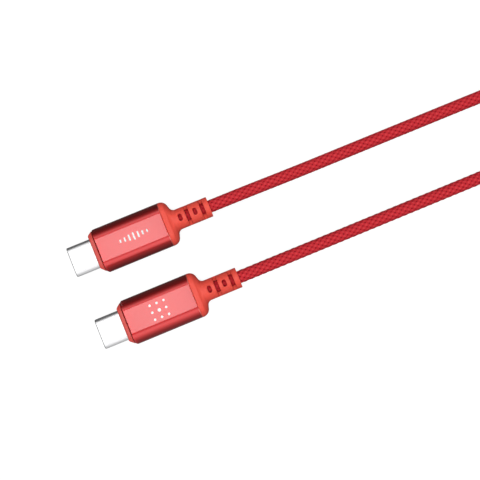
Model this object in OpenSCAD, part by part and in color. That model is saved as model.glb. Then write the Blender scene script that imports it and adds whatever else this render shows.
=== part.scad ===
// USB-C to USB-C charging cable: two alike plugs side by side, and the braided cord between them.
// Millimetres, +Z up. +X runs along both plugs from their tips to the cord, plug A lies on the +Y side.
// The origin is on the surface that the cable lies on, under the middle of the two plugs.

/* [Plug body] */
// Width of the sleeve
body_w = 12.3; // [11.8:0.1:13]
// Thickness of the sleeve, which is round at both sides
body_t = 6.4; // [6.2:0.1:7]
// Length of the metal sleeve
sleeve_len = 18.7; // [17:0.1:24]
// Wall of the metal sleeve
sleeve_wall = 0.8; // [0.6:0.05:0.9]
// Bright cut edge at both rims of the sleeve
rim_cut = 0.15; // [0.05:0.05:0.25]
// Corner cut at 45 degrees at both sides of the nose
corner_cut = 1.6; // [1.2:0.1:1.8]
// Radius where the nose face runs into the corner cut
corner_r = 1.0; // [0.6:0.1:1.2]
// Length of the nose collar that shows before the sleeve
collar_len = 1.1; // [0.9:0.1:1.4]
// Radius of the collar's front edge
collar_edge_r = 0.5; // [0.2:0.1:0.7]
// Length of the collar's spigot inside the sleeve
collar_spigot = 2.05; // [1.5:0.05:2.5]
// Dark gap between collar and sleeve
rim_gap = 0.2; // [0.1:0.05:0.3]
// Centre distance of the two plugs as they lie
plug_pitch = 20.5; // [16:0.5:30]

/* [USB-C shell] */
// Outer width of the plug shell
shell_w = 8.25; // [8.2:0.01:8.3]
// Outer height of the plug shell
shell_h = 2.4; // [2.36:0.01:2.44]
// Sheet of the plug shell
shell_wall = 0.3; // [0.2:0.02:0.32]
// Length of shell that stands out of the nose
shell_reach = 6.8; // [6.5:0.05:7]
// Length of shell held inside the body
shell_tail = 4.35; // [4:0.05:5]
// Rounding at the shell's tip
shell_edge = 0.2; // [0.1:0.05:0.25]

/* [Contacts] */
// Contact pitch across the plug
contact_pitch = 0.5; // [0.45:0.01:0.52]
// Width of one contact
contact_w = 0.25; // [0.18:0.01:0.3]
// Thickness of one contact
contact_t = 0.12; // [0.08:0.01:0.15]
// Places of the upper row that hold a contact, counted from 1 to 12
upper_places = [1, 4, 5, 6, 7, 9, 12];
// Places of the lower row that hold a contact
lower_places = [1, 4, 5, 9, 12];
// Wall of the contact housing beside the cavity that takes the socket's tongue
housing_wall = 0.335; // [0.3:0.005:0.38]
// Height of that cavity
cavity_h = 0.8; // [0.74:0.02:0.9]
// Depth of that cavity from the shell's tip
cavity_depth = 5.9; // [5.4:0.1:6.2]
// How far the housing's face lies behind the shell's tip
housing_recess = 0.2; // [0.1:0.05:0.4]
// Sheet of the latch plate
latch_t = 0.2; // [0.15:0.01:0.25]
// How far a latch nose stands into the cavity
latch_nose = 0.3; // [0.2:0.05:0.4]
// Sheet of the ground springs
spring_t = 0.08; // [0.05:0.01:0.09]

/* [Board and inner body] */
// Thickness of the paddle board
board_t = 0.8; // [0.6:0.05:0.9]
// Open space between the paddle board and the inside of the shell at each side
board_gap = 0.125; // [0.05:0.005:0.3]
// Open space between the shield can and the shell's tail
can_gap = 0.1; // [0.05:0.01:0.15]
// Sheet of the shield can
can_wall = 0.2; // [0.1:0.01:0.2]
// Side of the marker chip
chip_side = 2.2; // [1.6:0.1:2.6]
// Height of the marker chip
chip_h = 0.6; // [0.4:0.05:0.75]
// Diameter of one core wire
wire_d = 0.6; // [0.45:0.01:0.65]
// Length of the crimp ring
crimp_len = 2.4; // [1.8:0.1:2.8]
// Length of the strain relief's spigot inside the sleeve
relief_spigot = 2.2; // [1.8:0.1:2.8]
// Wall of the crimp ring
crimp_wall = 0.3; // [0.2:0.02:0.34]

/* [Strain relief] */
// Length of the strain relief behind the sleeve
relief_len = 12.7; // [12.4:0.1:14]
// Diameter of its neck
neck_d = 5.6; // [5:0.1:6]
// Length from the sleeve to the end of the shoulder's blend
shoulder_len = 3.8; // [3.6:0.1:4.2]
// Radius of the shoulder's outer corners, seen from above
shoulder_r = 2.1; // [1.8:0.1:2.2]
// Radius of the blend into the neck
neck_blend_r = 1.35; // [1:0.05:1.5]
// Where the shoulder's top starts to fall, behind the sleeve
top_fall_start = 1.3; // [0.9:0.1:1.6]
// Length over which the shoulder's top falls to the neck
top_fall_len = 1.0; // [0.6:0.1:1.6]
// Where the shoulder's section starts to turn from flat-topped to round
round_start = 1.2; // [0.9:0.1:1.6]
// Length over which it turns
round_len = 1.6; // [1:0.1:2]
// Distance from the sleeve to the first opening
slot_first = 4.45; // [4.4:0.05:4.8]
// Distance from one opening to the next
slot_pitch = 2.1; // [1.8:0.05:2.15]
// Width of every opening along the neck
slot_w = 1.07; // [0.8:0.01:1.2]
// Length of the small oval openings across the neck
oval_len = 1.95; // [1.4:0.05:2.2]
// Width of the wide openings across the neck, where the cord shows
window_w = 3.1; // [2.4:0.1:3.4]
// Depth of the grooves beside the wide openings, under the neck's top
web_drop = 1.0; // [0.5:0.05:1.1]
// Radius of the grooves' rounded floor
web_r = 3.2; // [3:0.1:3.6]
// Number of openings along the neck, small and wide in turn
slot_count = 4; // [2:1:4]

/* [Cord] */
// Diameter over the braid
cord_d = 3.4; // [3:0.1:3.6]
// Thickness of the woven sleeve
braid_t = 0.28; // [0.2:0.02:0.34]
// Turns of the coil that is put away, a whole number and a half
coil_turns = 6.5; // [4.5:1:8.5]
// Radius of the coil's outermost turn, to the middle of the cord
coil_r = 20.4; // [19:0.1:24]
// Open space between neighbouring turns
coil_gap = 0.5; // [0.45:0.05:0.8]

/* [Fits] */
// Clearance round a piece that is pressed or glued in
glue_gap = 0.05; // [0.02:0.01:0.08]
// Clearance round the small metal pieces in the housing
fine_gap = 0.02; // [0.01:0.005:0.03]

/* [Hidden] */
$fn = 48;
cut = 0.5;            // how far a cutting body stands past the face that it cuts

// Places along a plug, counted from the shell's tip
nose_x = shell_reach;
sleeve_x = nose_x + collar_len + rim_gap;
relief_x = sleeve_x + sleeve_len;
plug_len = relief_x + relief_len;
spigot_end = nose_x + collar_len + collar_spigot;
shell_end = nose_x + shell_tail;
housing_end = shell_end - 1.6;
board_x = housing_end + 0.2;
can_x = spigot_end + 0.2;
mould_x = spigot_end + 0.1;
relief_spigot_x = relief_x - relief_spigot;
mould_end = relief_spigot_x - 0.1;
braid_x = mould_end;
crimp_x = mould_end - 0.6 - crimp_len;
jacket_x = crimp_x - 0.3;
can_end = jacket_x - 0.8;
board_end = can_end - 1.8;

// Sizes that follow from the ones above
bore_w = body_w - 2 * sleeve_wall;
bore_t = body_t - 2 * sleeve_wall;
inner_w = bore_w - 2 * glue_gap;
inner_t = bore_t - 2 * glue_gap;
housing_w = shell_w - 2 * shell_wall - 4 * fine_gap;
housing_h = shell_h - 2 * shell_wall - 4 * fine_gap;
cavity_w = housing_w - 2 * housing_wall;
board_w = shell_w - 2 * shell_wall - 2 * board_gap;
can_w = shell_w + 2 * can_gap + 2 * can_wall;
can_h = shell_h + 2 * can_gap + 2 * can_wall;
jacket_d = cord_d - 2 * braid_t - 2 * fine_gap;
shield_d = jacket_d + 0.44;
crimp_d = shield_d + 2 * fine_gap + 2 * crimp_wall;
relief_bore_d = cord_d + 2 * glue_gap;

// Contacts: places along the plug and heights over its middle
row_places = 12;
contact_tip_x = 2.3;
contact_nose_x = 2.9;
contact_root_x = 6.2;
contact_tail = 1.4;
contact_nose_z = cavity_h / 2 - 0.14;
contact_tip_z = contact_nose_z + 0.1;
groove_x = contact_tip_x - 0.2;
groove_top = cavity_h / 2 + 2 * contact_t;

// Latch plate and ground springs
latch_tip_x = 2.2;
latch_base_x = 6.9;
latch_w = housing_w - 0.16;
spring_plate_x = 2.1;
spring_plate_len = 3.4;
spring_plate_w = housing_w - housing_h - 0.25;
spring_z = housing_h / 2 - spring_t - fine_gap;
finger_w = 0.9;
finger_pitch = 1.9;
finger_tip_x = 0.8;
finger_drop = 0.32;

// Route of the cord's free stretches, from the strain reliefs to the coil
coil_x = 131;
coil_y = -3.2;
coil_pitch = cord_d + coil_gap;
coil_layers = 4;
rings_a_turn = 24;
floor_z = cord_d / 2;
top_z = floor_z + (coil_layers - 1) * coil_pitch;
route_a = [
    [plug_len / 2, plug_pitch / 2, body_t / 2], [24, plug_pitch / 2, body_t / 2],
    [30, 10.25, 3], [36, 10.25, 2.5], [42, 10.25, 2], [48, 10.25, floor_z], [56, 10.25, floor_z],
    [64, 10.25, floor_z], [72, 10.25, floor_z], [80, 10.25, floor_z], [88, 10.25, floor_z],
    [95, 10.25, floor_z], [100, 10.25, floor_z], [104, 10.6, floor_z], [108, 11.8, floor_z],
    [112, 13.7, floor_z], [116, 15.6, floor_z], [120, 16.8, floor_z],
    [coil_x - 2 * cord_d, coil_y + coil_r, floor_z], [coil_x - cord_d, coil_y + coil_r, floor_z]
];
route_b = [
    [coil_x - cord_d, coil_y - coil_r, top_z], [coil_x - 2 * cord_d, coil_y - coil_r, top_z],
    [120.5, -23.3, 13.1], [117, -22.3, 12.3], [113.5, -20.8, 11], [110, -18.7, 9.1],
    [106.5, -16.1, 6.8], [103, -13.7, 4.8], [99.5, -12, 3.2], [96, -10.9, 2.2],
    [92.5, -10.3, 1.8], [89, -10.25, floor_z], [84, -10.25, floor_z],
    [79, -10.25, floor_z], [72, -10.25, floor_z], [64, -10.25, floor_z], [56, -10.25, floor_z],
    [48, -10.25, floor_z], [42, -10.25, 2], [36, -10.25, 2.5], [30, -10.25, 3],
    [24, -plug_pitch / 2, body_t / 2], [plug_len / 2, -plug_pitch / 2, body_t / 2]
];

// ---- Helpers ----

// Puts a plug's pieces where plug A or plug B lies
module at_a() { translate([-plug_len / 2, plug_pitch / 2, body_t / 2]) children(); }
module at_b() { translate([-plug_len / 2, -plug_pitch / 2, body_t / 2]) children(); }

// A 2D section, drawn across and up, run along X from one place to another
module run(from, to) {
    translate([from, 0, 0]) rotate([90, 0, 90]) linear_extrude(to - from) children();
}

// A 2D outline seen from above, as thick as asked
module plan(thick) { linear_extrude(thick, center = true) children(); }

// A 2D outline seen from the side, X across and Z up, as wide as asked
module side(wide) { rotate([90, 0, 0]) linear_extrude(wide, center = true) children(); }

// A round bar along X
module bar(from, to, d) { translate([from, 0, 0]) rotate([0, 90, 0]) cylinder(h = to - from, d = d); }

// A box along X, centred across and in height
module block(from, to, wide, thick) {
    translate([from, -wide / 2, -thick / 2]) cube([to - from, wide, thick]);
}

// A flat section with half round sides
module pill(w, t) {
    square([w - t, t], center = true);
    for (s = [-1, 1]) translate([s * (w - t) / 2, 0]) circle(d = t);
}

// The same below and above the plug's middle plane
module both_faces() {
    children();
    mirror([0, 0, 1]) children();
}

// The same at both sides of the plug's axis
module both_sides() {
    children();
    mirror([0, 1, 0]) children();
}

// Direction of a route at point i
function heading(route, i) =
    let (v = route[min(i + 1, len(route) - 1)] - route[max(i - 1, 0)]) v / norm(v);

// One ring of points round a route, square to it
function ring(centre, dir, d, sides) =
    let (across = cross([0, 0, 1], dir), right = across / norm(across), up = cross(dir, right))
    [for (k = [0 : sides - 1])
        let (a = 360 * k / sides - 90) centre + d / 2 * (cos(a) * right + sin(a) * up)];

// Triangles between two rings, and over the two ends
function skin(rings, sides) = concat(
    [for (i = [0 : rings - 2], k = [0 : sides - 1])
        [i * sides + k, (i + 1) * sides + (k + 1) % sides, i * sides + (k + 1) % sides]],
    [for (i = [0 : rings - 2], k = [0 : sides - 1])
        [i * sides + k, (i + 1) * sides + k, (i + 1) * sides + (k + 1) % sides]],
    [for (k = [1 : sides - 2]) [0, k, k + 1]],
    [for (k = [1 : sides - 2])
        [(rings - 1) * sides, (rings - 1) * sides + k + 1, (rings - 1) * sides + k]]
);

// A tube along a route
module tube(route, d, sides) {
    rings = [for (i = [0 : len(route) - 1]) ring(route[i], heading(route, i), d, sides)];
    polyhedron(points = [for (r = rings) each r], faces = skin(len(route), sides));
}

// Length of a route
function run_len(route, i = 1) =
    i >= len(route) ? 0 : norm(route[i] - route[i - 1]) + run_len(route, i + 1);

// Smooth step from 0 to 1
function ease(t) = let (c = min(max(t, 0), 1)) c * c * (3 - 2 * c);

// ---- Outlines of the plug body ----

// Body seen from above: the corner cuts, and the rounding where they meet the nose face
module body_outline() {
    face_half = body_w / 2 - corner_cut;
    tangent = corner_r * tan(22.5);
    drop = tangent * cos(45);
    polygon([
        [nose_x, -face_half + tangent], [nose_x + drop, -face_half - drop],
        [nose_x + corner_cut, -body_w / 2], [relief_x, -body_w / 2], [relief_x, body_w / 2],
        [nose_x + corner_cut, body_w / 2], [nose_x + drop, face_half + drop],
        [nose_x, face_half - tangent]
    ]);
    for (s = [-1, 1]) translate([nose_x + corner_r, s * (face_half - tangent)]) circle(r = corner_r);
}

// ---- The USB-C end ----

// Drawn steel shell with its rounded tip
module usb_shell() {
    color("silver") difference() {
        intersection() {
            run(0, shell_end) pill(shell_w, shell_h);
            plan(shell_h) tip_outline(shell_w / 2);
            side(shell_w) tip_outline(shell_h / 2);
        }
        run(-cut, shell_end + cut) pill(shell_w - 2 * shell_wall, shell_h - 2 * shell_wall);
    }
}

// Outline of the shell with a rounded front corner at each side
module tip_outline(half) {
    polygon([
        [0, -half + shell_edge], [shell_edge, -half], [shell_end, -half],
        [shell_end, half], [shell_edge, half], [0, half - shell_edge]
    ]);
    for (s = [-1, 1]) translate([shell_edge, s * (half - shell_edge)]) circle(r = shell_edge);
}

// Place of a contact across the plug
function contact_y(place) = (place - (row_places + 1) / 2) * contact_pitch;

// Moulded contact housing, open at the front for the socket's tongue
module contact_housing() {
    color([0.12, 0.12, 0.13]) difference() {
        run(housing_recess, housing_end) pill(housing_w, housing_h);
        block(housing_recess - cut, cavity_depth, cavity_w, cavity_h);
        side(cavity_w) polygon([
            [housing_recess - cut, -cavity_h / 2 - 0.15 - cut], [housing_recess + 0.15, -cavity_h / 2],
            [housing_recess + 0.15, cavity_h / 2], [housing_recess - cut, cavity_h / 2 + 0.15 + cut]
        ]);
        grooves(upper_places);
        mirror([0, 0, 1]) grooves(lower_places);
        latch_slots();
        both_faces() spring_seat();
    }
}

// One groove for each contact of a row
module grooves(places) {
    for (p = places) translate([groove_x, contact_y(p) - contact_w / 2 - fine_gap, contact_nose_z])
        cube([housing_end + cut - groove_x, contact_w + 2 * fine_gap, groove_top - contact_nose_z]);
}

// Slots for the latch plate and its two arms
module latch_slots() {
    slot_t = latch_t + 2 * fine_gap;
    both_sides() translate([latch_tip_x - 0.2, cavity_w / 2 - 0.1, -slot_t / 2])
        cube([housing_end + cut - latch_tip_x + 0.2, housing_w / 2, slot_t]);
    block(latch_base_x - 0.1, housing_end + cut, cavity_w, slot_t);
}

// Seat of a ground spring on the housing, with a window for each finger
module spring_seat() {
    translate([spring_plate_x - fine_gap, -spring_plate_w / 2 - fine_gap, spring_z - fine_gap])
        cube([spring_plate_len + 2 * fine_gap, spring_plate_w + 2 * fine_gap, housing_h]);
    for (i = [-1 : 1]) translate([finger_tip_x - 0.1, i * finger_pitch - finger_w / 2 - fine_gap, 0.1])
        cube([spring_plate_x - finger_tip_x + 0.1, finger_w + 2 * fine_gap, housing_h]);
}

// Side outline of one spring contact, from its tip to its tail on the board
module contact_outline() {
    root_z = board_t / 2;
    polygon([
        [contact_tip_x, contact_tip_z], [contact_nose_x, contact_nose_z], [contact_root_x, root_z],
        [board_x + contact_tail, root_z], [board_x + contact_tail, root_z + contact_t],
        [contact_root_x, root_z + contact_t], [contact_nose_x, contact_nose_z + contact_t],
        [contact_tip_x, contact_tip_z + contact_t]
    ]);
}

// A row of contacts
module contact_row(places) {
    color([0.85, 0.68, 0.3]) for (p = places)
        translate([0, contact_y(p), 0]) side(contact_w) contact_outline();
}

module upper_contacts() { contact_row(upper_places); }

module lower_contacts() { mirror([0, 0, 1]) contact_row(lower_places); }

// Plate between the contact rows with the two latch arms that hold a socket
module latch_plate() {
    arm_in = cavity_w / 2;
    half = latch_w / 2;
    color([0.75, 0.75, 0.77]) plan(latch_t) polygon([
        [housing_end, half], [latch_tip_x, half], [latch_tip_x, arm_in - 0.05],
        [latch_tip_x + 0.3, arm_in - latch_nose], [latch_tip_x + 0.7, arm_in], [latch_base_x, arm_in],
        [latch_base_x, -arm_in], [latch_tip_x + 0.7, -arm_in], [latch_tip_x + 0.3, latch_nose - arm_in],
        [latch_tip_x, 0.05 - arm_in], [latch_tip_x, -half], [housing_end, -half]
    ]);
}

// Upper and lower ground spring, each with three fingers
module ground_springs() {
    color([0.8, 0.8, 0.8]) both_faces() union() {
        translate([spring_plate_x, -spring_plate_w / 2, spring_z])
            cube([spring_plate_len, spring_plate_w, spring_t]);
        for (i = [-1 : 1]) translate([0, i * finger_pitch, 0]) side(finger_w) polygon([
            [finger_tip_x, spring_z - finger_drop + 0.06], [finger_tip_x + 0.2, spring_z - finger_drop],
            [spring_plate_x - 0.4, spring_z], [spring_plate_x + 0.1, spring_z],
            [spring_plate_x + 0.1, spring_z + spring_t], [spring_plate_x - 0.4, spring_z + spring_t],
            [finger_tip_x + 0.2, spring_z - finger_drop + spring_t],
            [finger_tip_x, spring_z - finger_drop + 0.06 + spring_t]
        ]);
    }
}

// ---- The body ----

// Moulded collar round the shell, with a spigot in the sleeve
module nose_collar() {
    color([0.86, 0.3, 0.24]) difference() {
        union() {
            intersection() {
                run(nose_x, nose_x + collar_len) pill(body_w, body_t);
                plan(body_t) body_outline();
                side(body_w) collar_outline();
            }
            run(nose_x + collar_edge_r, spigot_end) pill(inner_w, inner_t);
        }
        run(nose_x - cut, spigot_end + cut) pill(shell_w + 2 * glue_gap, shell_h + 2 * glue_gap);
    }
}

// Collar seen from the side, with its rounded front edge
module collar_outline() {
    half = body_t / 2;
    back = nose_x + collar_len;
    polygon([
        [nose_x, collar_edge_r - half], [nose_x + collar_edge_r, -half], [back, -half],
        [back, half], [nose_x + collar_edge_r, half], [nose_x, half - collar_edge_r]
    ]);
    for (s = [-1, 1]) translate([nose_x + collar_edge_r, s * (half - collar_edge_r)])
        circle(r = collar_edge_r);
}

// Extruded metal sleeve with cut corners at the nose and cut rims
module sleeve() {
    half = body_t / 2;
    color([0.72, 0.13, 0.14]) difference() {
        intersection() {
            run(sleeve_x, relief_x) pill(body_w, body_t);
            plan(body_t) body_outline();
            side(body_w) polygon([
                [sleeve_x, rim_cut - half], [sleeve_x + rim_cut, -half], [relief_x - rim_cut, -half],
                [relief_x, rim_cut - half], [relief_x, half - rim_cut], [relief_x - rim_cut, half],
                [sleeve_x + rim_cut, half], [sleeve_x, half - rim_cut]
            ]);
        }
        run(sleeve_x - cut, relief_x + cut) pill(bore_w, bore_t);
    }
}

// Inner mould that holds the shield can and the crimped cord in the sleeve
module inner_mould() {
    color([0.86, 0.86, 0.82]) difference() {
        run(mould_x, mould_end) pill(inner_w, inner_t);
        run(mould_x - cut, can_end + glue_gap) pill(can_w + 2 * glue_gap, can_h + 2 * glue_gap);
        bar(can_end, mould_end + cut, crimp_d + 2 * glue_gap);
    }
}

// Shield can over the board and the shell's tail, with the shell's own rounded sides
module shield_can() {
    color([0.7, 0.72, 0.74]) difference() {
        run(can_x, can_end) pill(can_w, can_h);
        run(can_x - cut, can_end - can_wall) pill(can_w - 2 * can_wall, can_h - 2 * can_wall);
        bar(can_end - can_wall - cut, can_end + cut, jacket_d + 2 * glue_gap);
    }
}

// Paddle board between the contact tails, with a notch at each side
module paddle_board() {
    notch_x = (board_x + board_end) / 2;
    color([0.1, 0.35, 0.2]) difference() {
        block(board_x, board_end, board_w, board_t);
        both_sides() translate([notch_x, board_w / 2 - 0.3, -board_t]) cube([1, cut + 0.3, 2 * board_t]);
    }
}

// Marker chip that tells the charger what the cable carries
module marker_chip() {
    color([0.15, 0.15, 0.16]) translate([board_x + contact_tail + 0.8, -chip_side / 2, board_t / 2])
        cube([chip_side, chip_side, chip_h]);
}

// Two capacitors on the board and a resistor under it
module board_parts() {
    part = [1, 0.5, 0.5];
    color([0.7, 0.6, 0.45]) {
        both_sides() translate([board_x + contact_tail + 1, 2.2, board_t / 2]) cube(part);
        translate([board_x + contact_tail + 1.5, -part[1] / 2, -board_t / 2 - part[2]]) cube(part);
    }
}

// Core wires fanned out from the cord to the board's pads: three above and two below
module core_wires() {
    pad_z = board_t / 2 + wire_d / 2 + fine_gap;
    color([0.75, 0.2, 0.15]) {
        for (i = [-1 : 1]) core_wire([0.75 * i, 0.4], [2.4 * i, pad_z]);
        for (i = [-1, 1]) core_wire([0.4 * i, -0.45], [1.6 * i, -pad_z]);
    }
}

// One wire, from its place across the cord to its pad
module core_wire(at_cord, at_pad) {
    fan_x = can_end - can_wall;
    tube([
        [jacket_x, at_cord[0], at_cord[1]], [fan_x + 0.2, at_cord[0], at_cord[1]],
        [fan_x - 0.2, at_cord[0] + 0.1 * (at_pad[0] - at_cord[0]), at_cord[1]],
        [board_end + 0.2, at_pad[0] - 0.1 * (at_pad[0] - at_cord[0]), at_pad[1]],
        [board_end - 0.2, at_pad[0], at_pad[1]], [board_end - 1.6, at_pad[0], at_pad[1]]
    ], wire_d, 8);
}

// ---- The cord inside the plug ----

// Ring crimped on the folded shield
module crimp_ring() {
    color([0.72, 0.6, 0.35]) difference() {
        bar(crimp_x, crimp_x + crimp_len, crimp_d);
        bar(crimp_x - cut, crimp_x + crimp_len + cut, shield_d + 2 * fine_gap);
    }
}

// Copper shield folded back over the jacket
module shield_braid() {
    color([0.72, 0.45, 0.3]) difference() {
        bar(jacket_x, braid_x - 0.1, shield_d);
        bar(jacket_x - cut, braid_x + cut, jacket_d + 2 * fine_gap);
    }
}

// Inner jacket of the cord with its cores, as far as the plug holds it
module inner_jacket() {
    color([0.2, 0.2, 0.2]) bar(jacket_x, plug_len, jacket_d);
}

// Woven sleeve of the cord, as far as the plug holds it
module braid_end() {
    color([0.68, 0.1, 0.14]) difference() {
        bar(braid_x, plug_len, cord_d);
        bar(braid_x - cut, plug_len + cut, jacket_d + 2 * fine_gap);
    }
}

// ---- The strain relief ----

// Half width of the shoulder, seen from above, at a distance behind the sleeve
function shoulder_half(x) =
    let (neck = neck_d / 2, edge = body_w / 2, flat = shoulder_len - neck_blend_r - shoulder_r - 0.1,
        blend_x = shoulder_len, blend_y = neck + neck_blend_r)
    x < flat ? edge
    : x < flat + shoulder_r
        ? max(edge - shoulder_r + sqrt(max(pow(shoulder_r, 2) - pow(x - flat, 2), 0)), blend_y)
    : x < blend_x ? blend_y - sqrt(max(pow(neck_blend_r, 2) - pow(blend_x - x, 2), 0))
    : neck;

// Half height of the shoulder there: flat to a clear edge, then a fall that runs out
function shoulder_top(x) =
    let (fallen = min(max((x - top_fall_start) / top_fall_len, 0), 1))
    body_t / 2 + (neck_d - body_t) / 2 * fallen * (2 - fallen);

// Share by which the shoulder's section has turned from a pill to an oval there
function shoulder_round(x) = ease((x - round_start) / round_len);

// Point k of a section between a pill, half round at the sides, and an oval
function section_point(k, points, half_w, half_t, share) =
    let (a = 360 * (k + 0.5) / points, flat = max(half_w - half_t, 0) * (1 - share))
    [flat * sign(cos(a)) + (half_w - flat) * cos(a), half_t * sin(a)];

// Stations of the shoulder, closer together where its outline turns fast
shoulder_steps = 20;
section_points = 32;
neck_step = 0.03;     // the shoulder ends this much over the neck's radius
function station(i) = shoulder_len * i / shoulder_steps;

// Lofted shoulder from the sleeve's section to the round neck
module shoulder() {
    rings = [for (i = [0 : shoulder_steps])
        let (x = station(i), w = shoulder_half(x) + (i == shoulder_steps ? neck_step : 0),
            t = i == shoulder_steps ? neck_d / 2 + neck_step : shoulder_top(x))
        [for (k = [0 : section_points - 1])
            let (p = section_point(k, section_points, w, t, shoulder_round(x)))
            [relief_x + x, p[0], p[1]]]];
    polyhedron(points = [for (r = rings) each r], faces = skin(shoulder_steps + 1, section_points));
}

// Small oval opening, cut from above and below
module oval_slot() {
    plan(body_t) {
        square([slot_w, oval_len - slot_w], center = true);
        for (s = [-1, 1]) translate([0, s * (oval_len - slot_w) / 2]) circle(d = slot_w);
    }
}

// Rounded floor of the grooves, one face up or down
module web_face(side) {
    translate([0, 0, side * (neck_d / 2 - web_drop - web_r)]) bar(-slot_w, slot_w, 2 * web_r);
}

// Wide opening above and below, with a groove round each side of the neck
module wide_slot() {
    cube([slot_w, window_w, body_t], center = true);
    difference() {
        cube([slot_w, body_t, body_t], center = true);
        intersection() {
            web_face(1);
            web_face(-1);
        }
    }
}

// Soft strain relief: spigot in the sleeve, shoulder and neck with openings down to the braid
module strain_relief() {
    color([0.9, 0.27, 0.24]) difference() {
        union() {
            run(relief_spigot_x, relief_x) pill(inner_w, inner_t);
            shoulder();
            bar(relief_x + shoulder_len, plug_len, neck_d);
        }
        bar(relief_spigot_x - cut, plug_len + cut, relief_bore_d);
        for (i = [0 : slot_count - 1]) translate([relief_x + slot_first + i * slot_pitch, 0, 0]) {
            if (i % 2 == 0) oval_slot();
            if (i % 2 == 1) wide_slot();
        }
    }
}

// ---- The free cord ----

module cord_a() { color([0.68, 0.1, 0.14]) tube(route_a, cord_d, 8); }

module cord_b() { color([0.68, 0.1, 0.14]) tube(route_b, cord_d, 8); }

// Radius of the coil after t turns: in and out again, once for every two layers
function turn_r(t) =
    let (leg = coil_turns / coil_layers, span = 2 * leg, at = (t + leg) % span)
    coil_r - coil_pitch * abs(at - leg);

// Height of the coil after t turns: it climbs a layer in the half turn where the spiral reverses
function turn_z(t) =
    let (leg = coil_turns / coil_layers)
    floor_z + coil_pitch * (ease(2 * (t - leg) + 0.5) + ease(2 * (t - 2 * leg) + 0.5)
        + ease(2 * (t - 3 * leg) + 0.5));

// Point of the coil after t turns
function turn_point(t) =
    let (a = 90 - 360 * t, r = turn_r(t)) [coil_x + r * cos(a), coil_y + r * sin(a), turn_z(t)];

// The coil, with a straight end of one diameter towards each plug
coil_route = concat(
    [[coil_x - cord_d, coil_y + coil_r, floor_z]],
    [for (i = [0 : coil_turns * rings_a_turn]) turn_point(i / rings_a_turn)],
    [[coil_x - cord_d, coil_y - coil_r, top_z]]
);

// Least distance between points of the coil that lie more than half a turn apart along it
function coil_least_gap() =
    min([for (i = [0 : len(coil_route) - 1], j = [i + rings_a_turn / 2 : 1 : len(coil_route) - 1])
        norm(coil_route[i] - coil_route[j])]) - cord_d;

module cord_coil() {
    echo(coil_least_gap = coil_least_gap(), coil_length = run_len(coil_route),
        cord_length = run_len(route_a) + run_len(coil_route) + run_len(route_b));
    color([0.68, 0.1, 0.14]) tube(coil_route, cord_d, 6);
}

// ---- The nodes ----

at_a() usb_shell();  // usb_shell_a
at_a() contact_housing();  // contact_housing_a
at_a() upper_contacts();  // upper_contacts_a
at_a() lower_contacts();  // lower_contacts_a
at_a() latch_plate();  // latch_plate_a
at_a() ground_springs();  // ground_springs_a
at_a() nose_collar();  // nose_collar_a
at_a() sleeve();  // sleeve_a
at_a() inner_mould();  // inner_mould_a
at_a() shield_can();  // shield_can_a
at_a() paddle_board();  // paddle_board_a
at_a() marker_chip();  // marker_chip_a
at_a() board_parts();  // board_parts_a
at_a() core_wires();  // core_wires_a
at_a() crimp_ring();  // crimp_ring_a
at_a() shield_braid();  // shield_braid_a
at_a() inner_jacket();  // inner_jacket_a
at_a() braid_end();  // braid_end_a
at_a() strain_relief();  // strain_relief_a
at_b() usb_shell();  // usb_shell_b
at_b() contact_housing();  // contact_housing_b
at_b() upper_contacts();  // upper_contacts_b
at_b() lower_contacts();  // lower_contacts_b
at_b() latch_plate();  // latch_plate_b
at_b() ground_springs();  // ground_springs_b
at_b() nose_collar();  // nose_collar_b
at_b() sleeve();  // sleeve_b
at_b() inner_mould();  // inner_mould_b
at_b() shield_can();  // shield_can_b
at_b() paddle_board();  // paddle_board_b
at_b() board_parts();  // board_parts_b
at_b() core_wires();  // core_wires_b
at_b() crimp_ring();  // crimp_ring_b
at_b() shield_braid();  // shield_braid_b
at_b() inner_jacket();  // inner_jacket_b
at_b() braid_end();  // braid_end_b
at_b() strain_relief();  // strain_relief_b
cord_a();
cord_coil();
cord_b();
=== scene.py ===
"""Looks of the charging cable: two plugs in red metal sleeves, soft reliefs and one braided cord."""

import logging
import math
from dataclasses import dataclass, field
from enum import Enum

import bmesh
import bpy
import numpy as np
from bpy.types import Material, Mesh, Node, NodeSocket as Socket, Object
from mathutils import Matrix, Vector


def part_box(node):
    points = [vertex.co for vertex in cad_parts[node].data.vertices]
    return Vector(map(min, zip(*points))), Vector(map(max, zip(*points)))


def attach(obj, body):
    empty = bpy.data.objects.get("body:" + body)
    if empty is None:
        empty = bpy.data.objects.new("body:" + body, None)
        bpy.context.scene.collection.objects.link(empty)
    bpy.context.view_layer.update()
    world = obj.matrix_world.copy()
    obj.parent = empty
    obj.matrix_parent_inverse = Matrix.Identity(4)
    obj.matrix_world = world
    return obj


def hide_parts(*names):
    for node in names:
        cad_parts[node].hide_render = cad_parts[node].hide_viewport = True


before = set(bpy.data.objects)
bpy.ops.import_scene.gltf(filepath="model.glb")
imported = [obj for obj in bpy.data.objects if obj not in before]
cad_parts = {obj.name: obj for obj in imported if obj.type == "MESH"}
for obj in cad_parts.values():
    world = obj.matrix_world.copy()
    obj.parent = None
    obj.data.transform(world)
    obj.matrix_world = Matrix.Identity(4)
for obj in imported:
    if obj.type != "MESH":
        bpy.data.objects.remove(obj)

MM = 0.001
BODY = "root"
# How far each plug is from the middle, and how the cord comes down from it, in millimetres.
PLUG_Y = 10.25
LEAD_OUT = ((19.75, 3.2), (24, 3.2), (30, 3.0), (36, 2.5), (42, 2.0))
# Where the cards beside the tips have their middle, and how long they are.
BY_THE_TIPS = (-17 * MM, 9.6 * MM)
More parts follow.
